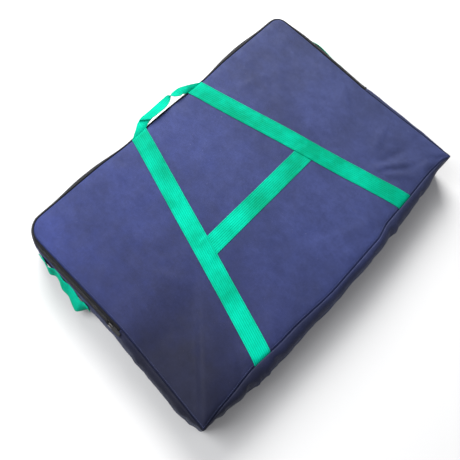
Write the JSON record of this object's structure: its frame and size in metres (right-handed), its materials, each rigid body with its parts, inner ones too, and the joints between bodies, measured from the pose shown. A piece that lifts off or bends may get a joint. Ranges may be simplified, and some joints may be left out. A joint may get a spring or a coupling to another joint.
{
  "type": "zipped flat carry bag",
  "caption": "Large flat rectangular cloth bag, zipped round the top and upper sides, with webbing handles laid out as a letter A.",
  "frame": {"origin": "the point of the floor under the middle of the bag, which lies on its back", "axes": "+X along the long edge, +Y towards the zipped top edge and its handles, +Z out of the front face"},
  "size_m": [1.0426, 0.706, 0.117],
  "materials": {
    "cloth": "plain woven polyester, navy, slightly worn",
    "webbing": "ribbed polypropylene webbing, bright green",
    "zip_tape": "black woven tape",
    "zip_coil": "black nylon coil",
    "binding": "dark woven binding tape",
    "zip_slider": "black enamelled, worn to metal at the edges",
    "zip_metal": "dull nickel",
    "pull_tab": "black moulded tab"
  },
  "bodies": {
    "bag": {"back_panel": "cloth", "front_panel": "cloth", "gusset_left": "cloth", "gusset_right": "cloth", "gusset_bottom": "cloth", "gusset_top": "cloth", "zip_tape_body": "zip_tape", "zip_coil_body": "zip_coil", "zip_coil_feet": "zip_coil", "zip_tape_feet": "zip_tape", "zip_stops": "zip_metal", "binding_back": "binding", "binding_front": "binding", "front_leg_left_lower": "webbing", "front_leg_right_lower": "webbing", "front_crossbar": "webbing", "back_leg_left": "webbing", "back_leg_right": "webbing", "back_crossbar": "webbing", "left_handle_pads": "webbing", "right_handle_pads": "webbing"},
    "flap": {"front_flap": "cloth", "zip_coil_flap": "zip_coil", "zip_tape_flap": "zip_tape", "front_leg_left_upper": "webbing", "front_leg_right_upper": "webbing"},
    "front_handle": {"front_handle": "webbing"},
    "back_handle": {"back_handle": "webbing"},
    "left_handle": {"left_handle": "webbing"},
    "right_handle": {"right_handle": "webbing"},
    "slider": {"zip_slider": "zip_slider"},
    "pull": {"pull_ring": "zip_metal", "pull_tab": "pull_tab"}
  },
  "joints": [
    {"name": "flap_fold", "type": "hinge", "parent": "bag", "child": "flap", "pos_m": [0, 0.008, 0.1153], "axis": [1, 0, 0], "range_deg": [0, 170]},
    {"name": "front_handle_fold", "type": "hinge", "parent": "flap", "child": "front_handle", "pos_m": [0, 0.318, 0.1153], "axis": [1, 0, 0], "range_deg": [-50, 165]},
    {"name": "back_handle_fold", "type": "hinge", "parent": "bag", "child": "back_handle", "pos_m": [0, 0.318, -0.0003], "axis": [1, 0, 0], "range_deg": [-150, 50]},
    {"name": "left_handle_swing", "type": "hinge", "parent": "bag", "child": "left_handle", "pos_m": [-0.5023, 0.155, 0.0575], "axis": [0, 1, 0], "range_deg": [-30, 30]},
    {"name": "right_handle_swing", "type": "hinge", "parent": "bag", "child": "right_handle", "pos_m": [0.5023, 0.155, 0.0575], "axis": [0, 1, 0], "range_deg": [-30, 30]},
    {"name": "slider_run", "type": "slide", "parent": "bag", "child": "slider", "axis": [0, 1, 0], "range_m": [0, 0.235]},
    {"name": "pull_flip", "type": "hinge", "parent": "slider", "child": "pull", "pos_m": [-0.48711, -0.006, 0.10579], "axis": [-0.727, 0, -0.6866], "range_deg": [0, 150]}
  ]
}
